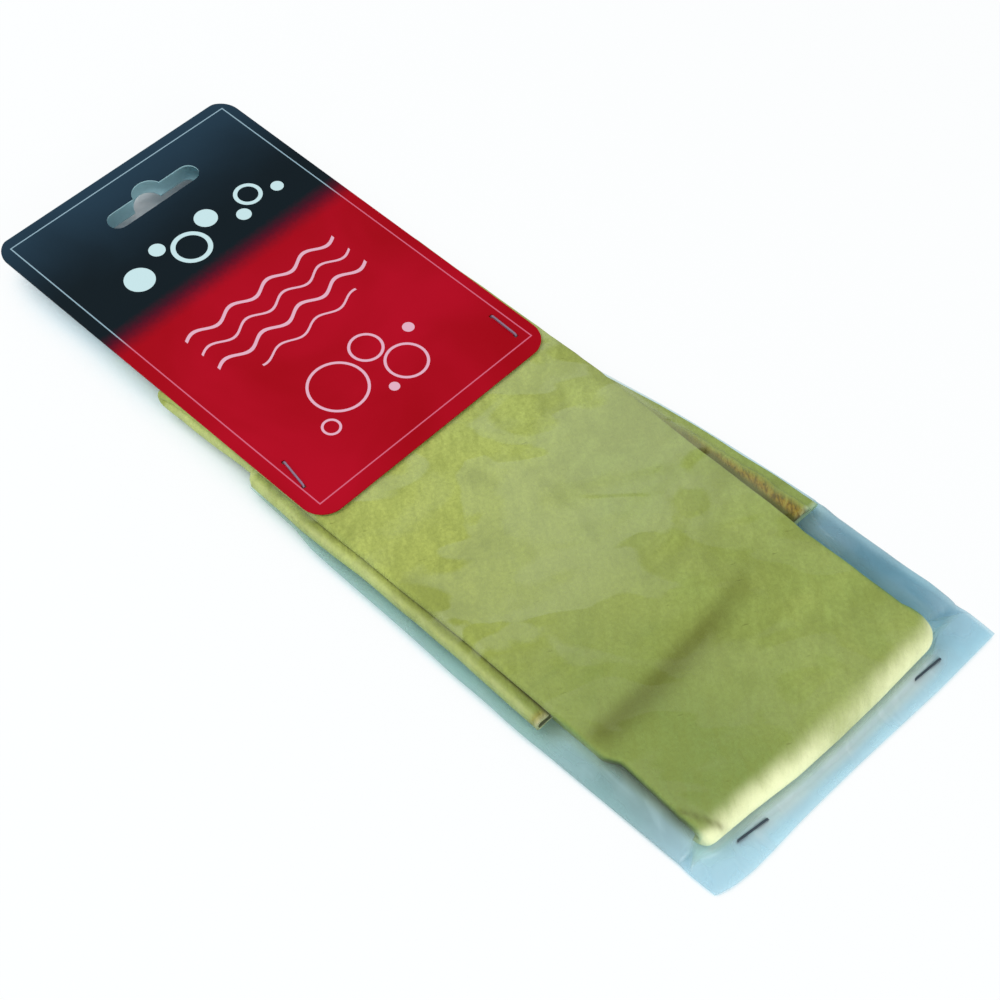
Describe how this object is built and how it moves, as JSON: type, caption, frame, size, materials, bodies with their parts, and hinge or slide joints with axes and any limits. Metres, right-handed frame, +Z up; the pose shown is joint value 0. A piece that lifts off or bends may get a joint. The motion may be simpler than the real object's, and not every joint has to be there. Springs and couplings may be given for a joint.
{
  "type": "packed chamois leather",
  "caption": "Folded yellow chamois leather in an open clear film sleeve under a fold-over header card with a hang slot, held together by wire staples.",
  "frame": {"origin": "bottom centre of the bounding box of the packet lying on its back", "axes": "+X across the packet to the right, +Y along it towards the hang slot, +Z up out of the card's front face"},
  "size_m": [0.1024, 0.2714, 0.0121],
  "materials": {
    "chamois": "napped, oil tanned",
    "film": "clear",
    "card": "printed, coated",
    "staple_wire": "drawn"
  },
  "bodies": {
    "root": {"chamois_skin": "chamois", "film_sleeve": "film", "header_card": "card", "card_staple_left": "staple_wire", "card_staple_right": "staple_wire", "end_staple_left": "staple_wire", "end_staple_right": "staple_wire"}
  },
  "joints": []
}
